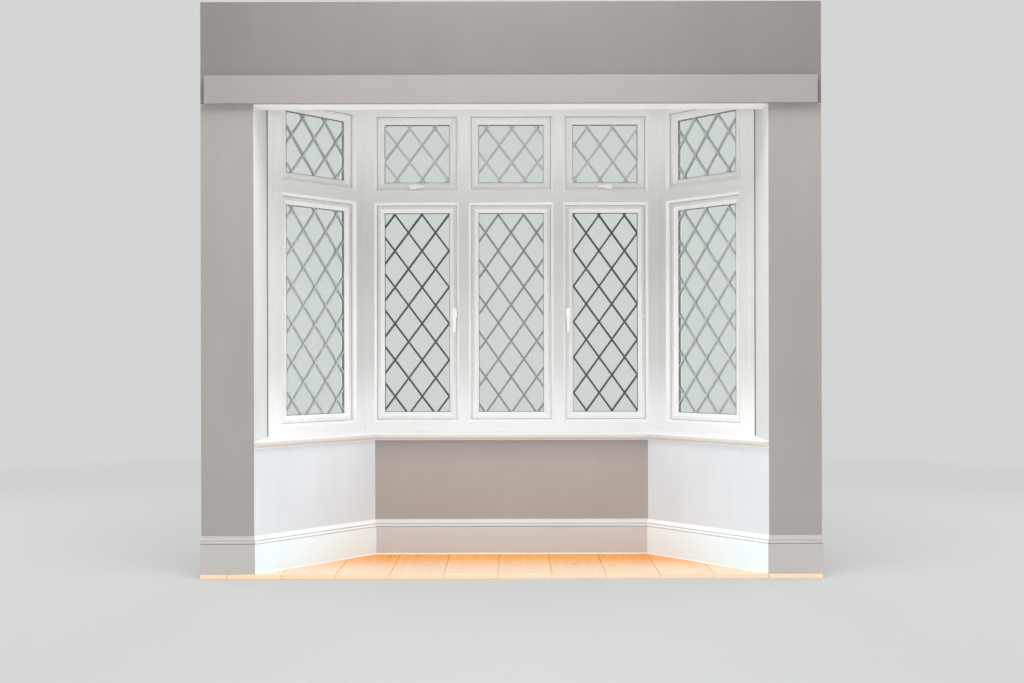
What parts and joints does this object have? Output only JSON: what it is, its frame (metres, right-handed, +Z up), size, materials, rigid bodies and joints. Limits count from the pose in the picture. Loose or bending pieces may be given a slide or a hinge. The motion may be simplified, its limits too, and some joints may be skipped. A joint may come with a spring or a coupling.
{
  "type": "bay window",
  "caption": "Splayed bay window: plastered dwarf walls and piers, white frames with leaded opening lights, inner board, outer sill and flat roof.",
  "frame": {"origin": "centre of the footprint on the ground, under the middle of the whole part's box", "axes": "+X along the house wall to the right as seen from the room, +Y outwards from the room, +Z up"},
  "size_m": [2.8, 0.822, 2.6],
  "materials": {
    "oak": "wide oak boards with a satin lacquer",
    "painted_plaster": "plaster with matt emulsion paint",
    "brick": "facing brick with pale mortar joints",
    "white_frame": "smooth white plastic",
    "white_sash": "smooth white plastic",
    "white_handle": "white powder coat",
    "spacer": "plain spacer bar",
    "glass": "clear double glazing",
    "white_paint": "white satin paint on timber",
    "ceiling_paint": "plasterboard with matt white paint",
    "roof_timber": "sawn timber and boards",
    "white_fascia": "white plastic board",
    "lead": "milled lead sheet, dulled by weather"
  },
  "bodies": {
    "root": {"floor": "oak", "inner_wall_front": "painted_plaster", "inner_wall_left": "painted_plaster", "inner_wall_right": "painted_plaster", "brick_wall_front": "brick", "brick_wall_left": "brick", "brick_wall_right": "brick", "pier_inner_left": "painted_plaster", "pier_inner_right": "painted_plaster", "pier_brick_left": "brick", "pier_brick_right": "brick", "header_inner": "painted_plaster", "header_brick": "brick", "window_board_front": "white_frame", "window_board_left": "white_frame", "window_board_right": "white_frame", "sill_front": "white_frame", "sill_left": "white_frame", "sill_right": "white_frame", "frame_front": "white_frame", "frame_left": "white_frame", "frame_right": "white_frame", "corner_post_left": "white_frame", "corner_post_right": "white_frame", "casement_left": "white_sash", "fixed_light_middle": "white_sash", "casement_right": "white_sash", "side_light_left": "white_sash", "side_light_right": "white_sash", "fanlight_left": "white_sash", "top_light_middle": "white_sash", "fanlight_right": "white_sash", "side_top_light_left": "white_sash", "side_top_light_right": "white_sash", "glass_front": "glass", "glass_left": "glass", "glass_right": "glass", "glass_spacers": "spacer", "glazing_beads": "white_sash", "casement_handles": "white_handle", "fanlight_handles": "white_handle", "skirting_front": "white_paint", "skirting_left": "white_paint", "skirting_right": "white_paint", "skirting_pier_left": "white_paint", "skirting_pier_right": "white_paint", "ceiling": "ceiling_paint", "roof_core": "roof_timber", "fascia_front": "white_fascia", "fascia_left": "white_fascia", "fascia_right": "white_fascia", "lead_roof": "lead", "flashing": "lead", "fixing_board": "white_paint"}
  },
  "joints": []
}
